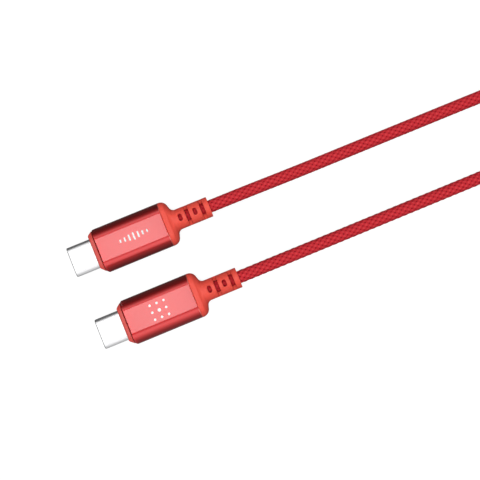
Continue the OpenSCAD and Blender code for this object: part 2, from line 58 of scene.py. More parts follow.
# The part of a noise's range that it mostly keeps to.
NOISE_SPREAD = (0.3, 0.7)
WHITE = (1.0, 1.0, 1.0, 1.0)
Colour = tuple[float, float, float]
Point = tuple[float, float, float]
Inputs = dict[str | int, object]
Surface = tuple[object, object, object]

logging.basicConfig(level=logging.INFO, format="%(message)s")
log = logging.getLogger("cable")

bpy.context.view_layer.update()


class End(Enum):
    """The two ends of the cable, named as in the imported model."""

    A = "a"
    B = "b"


class Mark(Enum):
    """The plain prints that the two sleeves carry."""

    LEVEL_BARS = "level_bars"
    DOT_GRID = "dot_grid"


class Way(Enum):
    """The way that a prism runs, by the number of its axis."""

    ALONG = 0
    DOWN = 2


# ---- Node materials ----


class Graph:
    """A material whose nodes are added one by one."""

    def __init__(self, name: str) -> None:
        """Starts an empty material.

        Args:
            name: its name.
        """
        self.material = bpy.data.materials.new(name)
        self.material.use_nodes = True
        self.tree = self.material.node_tree
        self.tree.nodes.clear()
        self.where = self.add("ShaderNodeTexCoord").outputs["Object"]

    def add(self, kind: str, inputs: Inputs | None = None, **settings: object) -> Node:
        """Adds a node.

        Args:
            kind: Blender's name of the node type.
            inputs: what its inputs take, by name or by place: output sockets or plain values.
            **settings: attributes to set on it.

        Returns:
            The new node.
        """
        node = self.tree.nodes.new(kind)
        for name, value in settings.items():
            setattr(node, name, value)
        for place, value in (inputs or {}).items():
            if isinstance(value, Socket):
                self.tree.links.new(value, node.inputs[place])
            else:
                node.inputs[place].default_value = value
        return node

    def show(self, shader: Node) -> Material:
        """Makes a shader the material's own and returns the material."""
        self.add("ShaderNodeOutputMaterial", {0: shader.outputs[0]})
        return self.material

    def axes(self, vector: Socket | None = None) -> bpy.types.bpy_prop_collection:
        """Splits a vector, or else the object's own coordinates, and returns the three parts."""
        return self.add("ShaderNodeSeparateXYZ", {0: vector or self.where}).outputs

    def math(self, operation: str, *values: object) -> Socket:
        """Adds a Math node over some values and returns its output."""
        return self.add("ShaderNodeMath", dict(enumerate(values)), operation=operation).outputs[0]

    def ridges(self, value: object, count: float) -> Socket:
        """Gives round ridges from 0 to 1, so many to one unit of a value."""
        return self.math("ABSOLUTE", self.math("SINE", self.math("MULTIPLY", value, math.pi * count)))

    def mix(self, share: object, first: object, second: object) -> Socket:
        """Goes from one colour to another by a share and returns the result."""
        return self.add("ShaderNodeMix", {0: share, 6: first, 7: second}, data_type="RGBA").outputs[2]

    def over(self, share: object, colour: object, other: Colour) -> Socket:
        """Lays a share of one plain colour over a colour and returns the result."""
        return self.mix(share, colour, (*other, 1.0))

    def noise(self, size: float, detail: float = 3.0, where: Socket | None = None) -> Socket:
        """Adds noise with blotches of a real size in metres and returns its value, from 0 to 1."""
        inputs = {"Vector": where or self.where, "Scale": 1.0 / size, "Detail": detail}
        return self.add("ShaderNodeTexNoise", inputs).outputs["Fac"]

    def ramp(self, value: object, low: float, high: float, to_low: float, to_high: float) -> Socket:
        """Maps a range of values smoothly to another one and returns the result."""
        inputs = dict(enumerate((value, low, high, to_low, to_high)))
        return self.add("ShaderNodeMapRange", inputs, interpolation_type="SMOOTHSTEP").outputs[0]

    def bump(self, height: object, depth: float, normal: Socket | None = None) -> Socket:
        """Adds relief of a real depth in metres to a normal, if there is one, and returns the result."""
        inputs = {"Strength": 1.0, "Distance": depth, "Height": height}
        return self.add("ShaderNodeBump", inputs | ({"Normal": normal} if normal else {})).outputs[0]

    def glow(self, strength: object, colour: object = WHITE, sampled: bool = False) -> Node:
        """Adds a plain light.

        Args:
            strength: how bright it is.
            colour: its colour.
            sampled: whether it is a lamp that the renderer aims at.

        Returns:
            Its shader.
        """
        if not sampled:
            self.material.cycles.emission_sampling = "NONE"
        return self.add("ShaderNodeEmission", {"Strength": strength, "Color": colour})


def tinted(colour: Colour, share: float) -> tuple[float, float, float, float]:
    """Gives a colour made lighter or darker by a share, with full alpha."""
    return (*(min(1.0, part * share) for part in colour), 1.0)


@dataclass(frozen=True)
class Band:
    """Another colour that comes or goes between two places along X: each one here is a painted highlight, a
    painted dark reflection or painted shade.
    """

    start: float
    end: float
    colour: Colour
    share_before: float = 0.0
    share_after: float = 0.0

    def laid(self, graph: Graph, colour: object) -> Socket:
        """Lays the band over a colour and returns the result."""
        share = graph.ramp(graph.axes()[0], self.start, self.end, self.share_before, self.share_after)
        return graph.over(share, colour, self.colour)


@dataclass(frozen=True)
class Finish:
    """A surface with mottled colour, uneven gloss and fine grain."""

    name: str
    colour: Colour
    roughness: float
    metallic: float = 0.0
    mottle: float = 0.06
    mottle_size: float = 2.5 * MM
    gloss_swing: float = 0.05
    grain_size: float = 0.12 * MM
    grain_depth: float = 0.002 * MM
    band: Band | None = None
    sockets: tuple[tuple[str, object], ...] = ()

    def material(self) -> Material:
        """Builds the material, once for each name.

        Returns:
            The material.
        """
        found = bpy.data.materials.get(self.name)
        if found is not None:
            return found
        graph = Graph(self.name)
        colour, roughness, normal = self.surface(graph)
        if self.band is not None:
            colour = self.band.laid(graph, colour)
        inputs = {"Metallic": self.metallic, "Base Color": colour, "Roughness": roughness, "Normal": normal}
        return graph.show(graph.add("ShaderNodeBsdfPrincipled", inputs | dict(self.sockets)))

    def surface(self, graph: Graph) -> Surface:
        """Makes what varies over the surface.

        Args:
            graph: the material's nodes.

        Returns:
            The colour, the roughness and the normal.
        """
        blotch = graph.noise(self.mottle_size)
        grain = graph.noise(self.grain_size, detail=2.0)
        return self.mottled(graph, blotch), self.glossed(graph, blotch), graph.bump(grain, self.grain_depth)

    def mottled(self, graph: Graph, blotch: object) -> Socket:
        """Gives the colour, a little darker or lighter from blotch to blotch."""
        return graph.mix(blotch, tinted(self.colour, 1 - self.mottle), tinted(self.colour, 1 + self.mottle))

    def glossed(self, graph: Graph, noise: object) -> Socket:
        """Gives the roughness, which swings with some noise."""
        rough, swing = self.roughness, self.gloss_swing
        return graph.ramp(noise, *NOISE_SPREAD, rough - swing, rough + swing)


@dataclass(frozen=True)
class BrushedFinish(Finish):
    """Sheet metal with fine drawing lines along X."""

    line_length: float = 3.0 * MM
    line_width: float = 0.05 * MM

    def surface(self, graph: Graph) -> Surface:
        """Makes what varies over the surface, with lines along X.

        Args:
            graph: the material's nodes.

        Returns:
            The colour, the roughness and the normal.
        """
        scale = (self.line_width / self.line_length, 1.0, 1.0)
        stretch = graph.add("ShaderNodeMapping", {"Vector": graph.where, "Scale": scale})
        lines = graph.noise(self.line_width, detail=2.0, where=stretch.outputs[0])
        blotch = graph.noise(self.mottle_size)
        return self.mottled(graph, blotch), self.glossed(graph, lines), graph.bump(lines, self.grain_depth)


@dataclass(frozen=True)
class Weave:
    """How the yarns of a braid cross: two families that wind opposite ways, one over the other in turn."""

    rise: float = 0.10 * MM
    body: float = 0.13 * MM
    cover: float = 0.52

    @property
    def top(self) -> float:
        """Gives the height of a crossing's crown over the base."""
        return self.rise + self.body

    def height(self, turn: np.ndarray, lead: np.ndarray) -> np.ndarray:
        """Gives the height of the woven surface over its base.

        Args:
            turn: place round the cord, in yarns.
            lead: how far the yarns have wound by there, in yarns.

        Returns:
            The height, in metres.
        """
        right, left = turn + lead, turn - lead
        across_right, across_left = right % 1 - 0.5, left % 1 - 0.5
        over = np.where((np.floor(right) + np.floor(left)) % 2 == 0, 1.0, -1.0)
        heights = []
        for across, other, side in ((across_right, across_left, over), (across_left, across_right, -over)):
            body = self.body * np.sqrt(np.clip(1 - (across / self.cover) ** 2, 0, 1))
            heights.append(side * self.rise * np.cos(math.pi * other) + body)
        return np.maximum(heights[0], heights[1])


@dataclass(frozen=True)
class BraidFinish(Finish):
    """Woven yarn with strands and fine filaments: a painted highlight on the crowns, painted shade in the
    creases and between the strands, and painted shade where the relief holds it.
    """

    # Painted highlight on the crowns, and painted shade in the creases and between the strands; the dark
    # colour also darkens the filaments at random.
    crown_highlight_colour: Colour = (0.76, 0.064, 0.072)
    gap_shade_and_fibre_colour: Colour = (0.13, 0.003, 0.007)
    # Painted shade on the yarn inside the relief, where it shows through the slots.
    held: Band = Band(19.65 * MM, 19.75 * MM, (0.37, 0.014, 0.020), share_before=0.7)
    weave: Weave = Weave()
    gap_shade_range: tuple[float, float] = (0.30, 0.62)
    crown_highlight_range: tuple[float, float] = (0.84, 1.0)
    strands: int = 3
    strand_depth: float = 0.03 * MM
    strand_shade: float = 0.35
    filament: float = 0.09 * MM
    filament_range: tuple[float, float] = (0.35, 0.65)
    filament_shade: float = 0.22

    def surface(self, graph: Graph) -> Surface:
        """Makes what varies over the yarn from the winding that the cord's mesh carries.

        Args:
            graph: the material's nodes.

        Returns:
            The colour, the roughness and the normal.
        """
        crown, across = self.crossing(graph)
        # Painted shade in the creases between the yarns, then a painted highlight on the crowns.
        yarn = graph.ramp(crown, *self.gap_shade_range, 0.0, 1.0)
        colour = graph.mix(yarn, (*self.gap_shade_and_fibre_colour, 1.0), (*self.colour, 1.0))
        colour = graph.over(graph.ramp(crown, *self.crown_highlight_range, 0.0, 1.0), colour, self.crown_highlight_colour)
        # Painted shade on the yarn inside the relief's slots.
        colour = self.held.laid(graph, colour)
        strand = graph.ridges(across, self.strands)
        # Painted shade in the furrows between the strands.
        colour = graph.over(graph.ramp(strand, 0.0, 0.5, self.strand_shade, 0.0), colour, self.gap_shade_and_fibre_colour)
        fibres = graph.noise(self.filament, detail=2.0)
        shade = graph.ramp(fibres, *self.filament_range, 0.0, self.filament_shade)
        normal = graph.bump(strand, self.strand_depth, graph.bump(fibres, self.grain_depth))
        return graph.over(shade, colour, self.gap_shade_and_fibre_colour), self.glossed(graph, fibres), normal

    def crossing(self, graph: Graph) -> tuple[Socket, Socket]:
        """Works out which yarn lies on top, as the weave's own height does.

        Args:
            graph: the material's nodes.

        Returns:
            The height from 0 to 1, and the place across the yarn on top, from -0.5 to 0.5.
        """
        do = graph.math
        winding = graph.add("ShaderNodeAttribute", attribute_name="winding")
        turn, lead, _ = graph.axes(winding.outputs["Vector"])
        right, left = do("ADD", turn, lead), do("SUBTRACT", turn, lead)
        places = [do("SUBTRACT", do("FRACT", way), 0.5) for way in (right, left)]
        odd = do("ABSOLUTE", do("MODULO", do("ADD", do("FLOOR", right), do("FLOOR", left)), 2.0))
        over = do("SUBTRACT", 1.0, do("MULTIPLY", odd, 2.0))
        rise, body = self.weave.rise / self.weave.top, self.weave.body / self.weave.top
        heights = []
        for across, other, share in ((places[0], places[1], rise), (places[1], places[0], -rise)):
            lift = do("MULTIPLY", do("MULTIPLY", over, do("COSINE", do("MULTIPLY", other, math.pi))), share)
            fall = do("POWER", do("DIVIDE", do("ABSOLUTE", across), self.weave.cover), 2.0)
            crest = do("SQRT", do("MAXIMUM", do("SUBTRACT", 1.0, fall), 0.0))
            heights.append(do("MULTIPLY_ADD", crest, body, lift))
        on_top = do("GREATER_THAN", *heights)
        return do("MAXIMUM", *heights), do("MULTIPLY_ADD", on_top, do("SUBTRACT", *places), places[1])


@dataclass(frozen=True)
class RibbonFinish(Finish):
    """A ribbed woven ribbon, fuzzy all over, with painted shade between its ribs and between its cross
    yarns.
    """

    groove_shade_colour: Colour = (0.10, 0.002, 0.005)
    groove_reach: float = 0.7
    groove_shade: float = 0.8
    yarn_pitch: float = 0.22 * MM
    yarn_depth: float = 0.02 * MM
    yarn_shade: float = 0.3

    def surface(self, graph: Graph) -> Surface:
        """Makes what varies over the surface from the rib height that the ribbon's mesh carries.

        Args:
            graph: the material's nodes.

        Returns:
            The colour, the roughness and the normal.
        """
        rib = graph.add("ShaderNodeAttribute", attribute_name="rib").outputs["Fac"]
        yarn = graph.ridges(graph.axes()[1], 1 / self.yarn_pitch)
        colour, roughness, normal = Finish.surface(self, graph)
        # Painted shade in the grooves between the ribs, then between the cross yarns.
        grooves = graph.ramp(rib, 0.0, self.groove_reach, self.groove_shade, 0.0)
        colour = graph.over(grooves, colour, self.groove_shade_colour)
        colour = graph.over(graph.ramp(yarn, 0.0, 0.5, self.yarn_shade, 0.0), colour, self.groove_shade_colour)
        return colour, roughness, graph.bump(yarn, self.yarn_depth, normal)


@dataclass(frozen=True)
class MouldedFinish(Finish):
    """A soft moulding with painted shade in its grooves and openings."""

    crease_shade_colour: Colour = (0.30, 0.012, 0.008)
    crease_reach: float = 0.9 * MM
    crease_range: tuple[float, float] = (0.5, 0.94)
    crease_shade: float = 0.9
    rays: int = 8

    def surface(self, graph: Graph) -> Surface:
        """Makes what varies over the surface, with painted shade in the creases, found from the shape round
        them.

        Args:
            graph: the material's nodes.

        Returns:
            The colour, the roughness and the normal.
        """
        colour, roughness, normal = Finish.surface(self, graph)
        inputs = {"Distance": self.crease_reach}
        # Painted shade from ambient occlusion: darker where the shape closes in.
        open_sky = graph.add("ShaderNodeAmbientOcclusion", inputs, samples=self.rays, only_local=True)
        crease = graph.ramp(open_sky.outputs["AO"], *self.crease_range, self.crease_shade, 0.0)
        return graph.over(crease, colour, self.crease_shade_colour), roughness, normal


# Painted dark reflection along the rounded lip at the shell's tip.
TIP_DARK_REFLECTION = Band(-19.6 * MM, -19.55 * MM, (0.16, 0.165, 0.17), share_before=0.9)
STEEL = BrushedFinish(
    "bright_nickel", (0.90, 0.90, 0.91), 0.36, metallic=0.96, mottle=0.02, grain_depth=0.0004 * MM,
    band=TIP_DARK_REFLECTION,
)
SPRING = BrushedFinish("spring_steel", (0.62, 0.63, 0.66), 0.3, metallic=1.0, mottle=0.04)
GOLD = BrushedFinish(
    "gold_plate", (0.90, 0.65, 0.26), 0.22, metallic=1.0, mottle=0.04, grain_depth=0.0004 * MM,
)
COPPER = BrushedFinish("copper_braid", (0.80, 0.42, 0.27), 0.4, metallic=1.0, line_length=0.5 * MM)
INSULATOR = Finish("black_insulator", (0.016, 0.016, 0.018), 0.42)
COLLAR = Finish(
    "collar_plastic", (0.60, 0.073, 0.059), 0.42, mottle=0.05, grain_depth=0.003 * MM,
    sockets=(("Specular IOR Level", 0.35),),
)
SOFT = MouldedFinish(
    "soft_relief", (0.82, 0.085, 0.058), 0.5, mottle=0.04, mottle_size=4 * MM, grain_depth=0.004 * MM,
    sockets=(("Specular IOR Level", 0.42), ("Subsurface Weight", 0.08), ("Subsurface Scale", 0.6 * MM),
             ("Subsurface Radius", (1.0, 0.25, 0.12))),
)
PALE = Finish("inner_moulding", (0.62, 0.60, 0.53), 0.55)
BOARD = Finish("board_mask", (0.012, 0.085, 0.03), 0.3, mottle=0.15)
PARTS = Finish("small_parts", (0.38, 0.26, 0.14), 0.4, mottle=0.2, mottle_size=0.4 * MM)
WIRES = Finish("wire_coat", (0.5, 0.03, 0.02), 0.35)
JACKET = Finish("inner_jacket", (0.02, 0.02, 0.02), 0.6)
YARN = BraidFinish(
    "woven_yarn", (0.64, 0.029, 0.040), 0.62, grain_depth=0.006 * MM, gloss_swing=0.08,
    sockets=(("Sheen Weight", 0.05), ("Sheen Roughness", 0.4), ("Sheen Tint", (1.0, 0.45, 0.45, 1.0)),
             ("Specular IOR Level", 0.12)),
)
RIBBON = RibbonFinish(
    "tie_ribbon", (0.42, 0.014, 0.024), 0.75, mottle=0.1, grain_size=0.08 * MM, grain_depth=0.012 * MM,
    sockets=(("Sheen Weight", 0.25), ("Sheen Roughness", 0.4), ("Sheen Tint", (1.0, 0.4, 0.4, 1.0))),
)
INK = Finish("white_ink", (0.93, 0.93, 0.92), 0.4, mottle=0.02, grain_depth=0.001 * MM)
# Painted highlight along the sleeve's rear rim, by the relief.
RIM_HIGHLIGHT_COLOUR = (0.95, 0.35, 0.32)
SLEEVE_SOCKETS = (("Coat Weight", 1.0), ("Coat Roughness", 0.1), ("Coat IOR", 1.7))


# ---- Meshes ----


def new_object(name: str, data: Mesh | bpy.types.Camera) -> Object:
    """Puts data into the scene as an object.

    Args:
        name: the object's name.
        data: its mesh or camera.

    Returns:
        The new object.
    """
    thing = bpy.data.objects.new(name, data)
    bpy.context.scene.collection.objects.link(thing)
    return thing


def eased(share: np.ndarray | float) -> np.ndarray:
    """Gives a share, or many, with a smooth start and end, kept from 0 to 1."""
    share = np.clip(share, 0.0, 1.0)
    return share * share * (3 - 2 * share)


def grid_mesh(name: str, rings: np.ndarray) -> Mesh:
    """Skins rings of points and closes both ends.

    Args:
        name: the mesh's name.
        rings: points, ring by ring, as an array of rings, points and 3 coordinates.

    Returns:
        The mesh, with its faces outwards where the rings run anticlockwise seen against their way.
    """
    count, sides = rings.shape[:2]
    here = np.arange(sides)
    there = (here + 1) % sides
    start = (np.arange(count - 1) * sides)[:, None]
    quads = np.stack([start + here, start + there, start + sides + there, start + sides + here], -1)
    faces = [*quads.reshape(-1, 4).tolist(), here[::-1].tolist(), (here + (count - 1) * sides).tolist()]
    mesh = bpy.data.meshes.new(name)
    mesh.from_pydata(rings.reshape(-1, 3), [], faces, shade_flat=False)
    mesh.validate()
    return mesh


def pill(width: float, height: float, count: int) -> np.ndarray:
    """Gives an outline with a half circle at each end.

    Args:
        width: its width, along the first axis.
        height: its height, along the second one.
        count: how many points it has.

    Returns:
        Its points, as pairs.
    """
    angle = (np.arange(count) + 0.5) * 2 * math.pi / count
    points = np.stack([np.cos(angle), np.sin(angle)], -1) * width / 2
    points[:, 1] += np.sign(points[:, 1]) * max(height - width, 0) / 2
    return points


def square_mesh(name: str, half_size: float, cuts: int) -> Mesh:
    """Makes a flat square.

    Args:
        name: the mesh's name.
        half_size: half the length of its sides.
        cuts: how many faces it has along a side.

    Returns:
        The mesh.
    """
    work = bmesh.new()
    bmesh.ops.create_grid(work, x_segments=cuts, y_segments=cuts, size=half_size)
    return kept_mesh(name, work)


def kept_mesh(name: str, work: bmesh.types.BMesh) -> Mesh:
    """Turns a working mesh into a lasting one.

    Args:
        name: the mesh's name.
        work: the working mesh, which is given up.

    Returns:
        The mesh.
    """
    mesh = bpy.data.meshes.new(name)
    work.to_mesh(mesh)
    work.free()
    return mesh


def apply_modifiers(thing: Object) -> None:
    """Turns an object's modifiers into its mesh.

    Args:
        thing: the object.
    """
    graph = bpy.context.evaluated_depsgraph_get()
    made = bpy.data.meshes.new_from_object(thing.evaluated_get(graph))
    thing.modifiers.clear()
    old, thing.data = thing.data, made
    bpy.data.meshes.remove(old)


def distances(line: np.ndarray) -> np.ndarray:
    """Gives how far along a line each of its points lies."""
    return np.concatenate([[0], np.cumsum(np.linalg.norm(np.diff(line, axis=0), axis=1))])


def read_off(places: np.ndarray, along: np.ndarray, rows: np.ndarray) -> np.ndarray:
    """Reads rows of numbers off at places between the ones where they stand."""
    return np.stack([np.interp(places, along, column) for column in rows.T], -1)


def dress(thing: Object, finish: Finish) -> None:
    """Gives an object one finish all over."""
    thing.data.materials.clear()
    thing.data.materials.append(finish.material())


# ---- The stage ----


@dataclass
class TableCamera:
    """The camera over the table, which looks down at both plugs."""

    place: Point = (18.605 * MM, -13.726 * MM, 180.939 * MM)
    turn: float = -22.795
    tilt: float = 4.382
    roll: float = 0.38
    lens: float = 50.0
    sensor: float = 36.0
    nearest: float = 5 * MM
    farthest: float = 20.0

    def build(self) -> None:
        """Makes the camera the scene's own."""
        data = bpy.data.cameras.new("table_camera")
        data.lens, data.sensor_width = self.lens, self.sensor
        data.clip_start, data.clip_end = self.nearest, self.farthest
        camera = new_object("table_camera", data)
        stand = Matrix.Translation(self.place)
        for angle, axis in ((self.turn, "Z"), (self.tilt, "X"), (self.roll, "Z")):
            stand @= Matrix.Rotation(math.radians(angle), 4, axis)
        camera.matrix_world = stand
        bpy.context.scene.camera = camera


@dataclass(frozen=True)
class Panel:
    """A flat lamp that fades towards its edges."""

    name: str
    place: Point
    target: Point
    size: tuple[float, float]
    glow: float
    edge: float = 0.25
    mirrored: bool = True
    scattered: bool = True
    sampled: bool = True

    def build(self) -> None:
        """Makes the lamp, which the camera doesn't see."""
        data = square_mesh(self.name, half_size=0.5, cuts=2)
        panel = new_object(self.name, data)
        aim = (Vector(self.target) - Vector(self.place)).to_track_quat("Z", "Y")
        panel.matrix_world = Matrix.LocRotScale(self.place, aim, (*self.size, 1.0))
        graph = Graph(self.name)
        across = [graph.math("ABSOLUTE", part) for part in graph.axes()[:2]]
        fades = [graph.ramp(part, 0.5 - self.edge, 0.5, 1.0, 0.0) for part in across]
        glow = graph.math("MULTIPLY", graph.math("MULTIPLY", *fades), self.glow)
        data.materials.append(graph.show(graph.glow(glow, sampled=self.sampled)))
        panel.visible_camera = panel.visible_shadow = False
        panel.visible_glossy, panel.visible_diffuse = self.mirrored, self.scattered


@dataclass(frozen=True)
class Card:
    """A low upright card beside a plug, which only its gloss mirrors."""

    name: str
    across: float
    glow_low: float
    glow_high: float
    middle: float = 5 * MM
    length: float = 34 * MM
    height: float = 9 * MM

    def build(self) -> None:
        """Makes the card, which stands along X and is brighter at its upper edge."""
        data = bpy.data.meshes.new(self.name)
        half, top = self.length / 2, self.height
        data.from_pydata([(-half, 0, 0), (half, 0, 0), (half, 0, top), (-half, 0, top)], [], [(0, 1, 2, 3)])
        card = new_object(self.name, data)
        card.location = (self.middle, self.across, 0)
        graph = Graph(self.name)
        glow = graph.ramp(graph.axes()[2], 0.0, top, self.glow_low, self.glow_high)
        data.materials.append(graph.show(graph.glow(glow)))
        card.visible_camera = card.visible_diffuse = card.visible_shadow = False


@dataclass
class LightTable:
    """The white table and the plain soft light over it."""

    half_size: float = 3.0
    radius: float = 8.0
    backdrop_radius: float = 4.4
    table_colour: Colour = (0.2, 0.2, 0.2)
    table_glow: float = 0.88
    far_glow: float = 1.0
    far_from: tuple[float, float] = (0.35, 1.4)
    sky_glow: float = 0.17
    room_ends: tuple[float, float] = (0.28, 0.52)
    room_end_glow: float = 0.4
    panels: tuple[Panel, ...] = (
        Panel("softbox", (0, -0.05, 0.6), (0, -0.05, 0), (0.80, 0.62), 4.2, edge=0.2, mirrored=False),
        Panel("key", (-0.074, 0.03, 0.6), (-0.074, 0.03, 0), (0.125, 0.25), 3.7, edge=0.14, scattered=False),
        Panel("side_fill", (0, -0.7, 0.45), (0, 0, 0), (0.9, 0.6), 0.55, mirrored=False),
        *(
            Panel(f"tip_lid_{end.value}", (-18.2 * MM, y, 10 * MM), (-18.2 * MM, y, 0), (12 * MM, 8 * MM),
                  1.35, edge=0.05, scattered=False, sampled=False)
            for end, y in ((End.A, PLUG_Y * MM), (End.B, -PLUG_Y * MM))
        ),
    )
    cards: tuple[Card, ...] = (
        Card("card_a", 1 * MM, 0.06, 0.32),
        Card("card_b", -1 * MM, 0.09, 0.1),
        Card("tip_card_a", 1 * MM, 0.55, 0.75, *BY_THE_TIPS),
        Card("tip_card_b", -19.5 * MM, 0.55, 0.75, *BY_THE_TIPS),
        Card("dark_card_b", -1 * MM, 0.09, 0.1, *BY_THE_TIPS),
    )
    room: tuple[tuple[float, float], ...] = (
        (-180, 0.16), (-120, 0.18), (-98, 0.23), (-84, 0.36), (-72, 0.51), (-61, 0.74), (-50, 1.06),
        (-40, 1.34), (-30, 1.42), (-18, 1.0), (-8, 0.1), (6, 0.1), (13, 0.55), (22, 1.22), (30, 1.18),
        (38, 0.73), (46, 0.34), (56, 0.16), (66, 0.10), (90, 0.09), (180, 0.09),
    )

    def build(self) -> None:
        """Makes the floor, the sky and the lamps."""
        bpy.context.scene.view_settings.view_transform = "Standard"
        self.floor()
        self.sky()
        self.dome()
        self.backdrop()
        for lamp in (*self.panels, *self.cards):
            lamp.build()
            log.info("%s", lamp.name)

    def floor(self) -> None:
        """Makes the floor, which glows like a light table and is white further out."""
        data = square_mesh("table_top", self.half_size, cuts=8)
        floor = new_object("table_top", data)
        graph = Graph("pale_table")
        away = graph.add("ShaderNodeVectorMath", {0: graph.where}, operation="LENGTH").outputs["Value"]
        light = graph.glow(graph.ramp(away, *self.far_from, self.table_glow, self.far_glow))
        pale = graph.add("ShaderNodeBsdfDiffuse", {"Color": (*self.table_colour, 1.0)})
        both = graph.add("ShaderNodeAddShader", {0: pale.outputs[0], 1: light.outputs[0]})
        data.materials.append(graph.show(both))
        floor.visible_glossy = floor.visible_diffuse = False

    def sky(self) -> None:
        """Makes the faint even light from all round, which gloss doesn't mirror."""
        world = bpy.data.worlds.new("white_room")
        world.use_nodes = True
        light = world.node_tree.nodes["Background"].inputs
        light["Color"].default_value = WHITE
        light["Strength"].default_value = self.sky_glow
        world.cycles_visibility.glossy = False
        bpy.context.scene.world = world

    def shell(self, name: str, radius: float, material: Material) -> Object:
        """Makes a sphere round the whole scene.

        Args:
            name: the object's name.
            radius: its radius.
            material: what it wears.

        Returns:
            The sphere, which lights nothing and throws no shadow.
        """
        work = bmesh.new()
        bmesh.ops.create_icosphere(work, subdivisions=5, radius=radius)
        data = kept_mesh(name, work)
        data.materials.append(material)
        shell = new_object(name, data)
        shell.visible_diffuse = shell.visible_shadow = False
        return shell

    def backdrop(self) -> None:
        """Makes the white beyond the table, which only the camera sees."""
        graph = Graph("white_backdrop")
        self.shell("backdrop", self.backdrop_radius, graph.show(graph.glow(1.0))).visible_glossy = False

    def dome(self) -> None:
        """Makes the room that gloss mirrors: dark overhead, a bright band each side, dimmer ends."""
        graph = Graph("dim_walls")
        x, y, z = graph.axes()
        round_x = graph.math("DIVIDE", graph.math("ARCTAN2", y, z), 2 * math.pi)
        walls = graph.add("ShaderNodeValToRGB", {0: graph.math("ADD", round_x, 0.5)})
        stops = walls.color_ramp.elements
        while len(stops) < len(self.room):
            stops.new(0.5)
        for stop, (angle, glow) in zip(stops, self.room):
            stop.position = angle / 360 + 0.5
            stop.color = (glow, glow, glow, 1.0)
        start, end = (share * self.radius for share in self.room_ends)
        ends = graph.ramp(graph.math("ABSOLUTE", x), start, end, 1.0, self.room_end_glow)
        material = graph.show(graph.glow(ends, walls.outputs[0]))
        self.shell("dim_room", self.radius, material).visible_camera = False


# ---- The cord ----


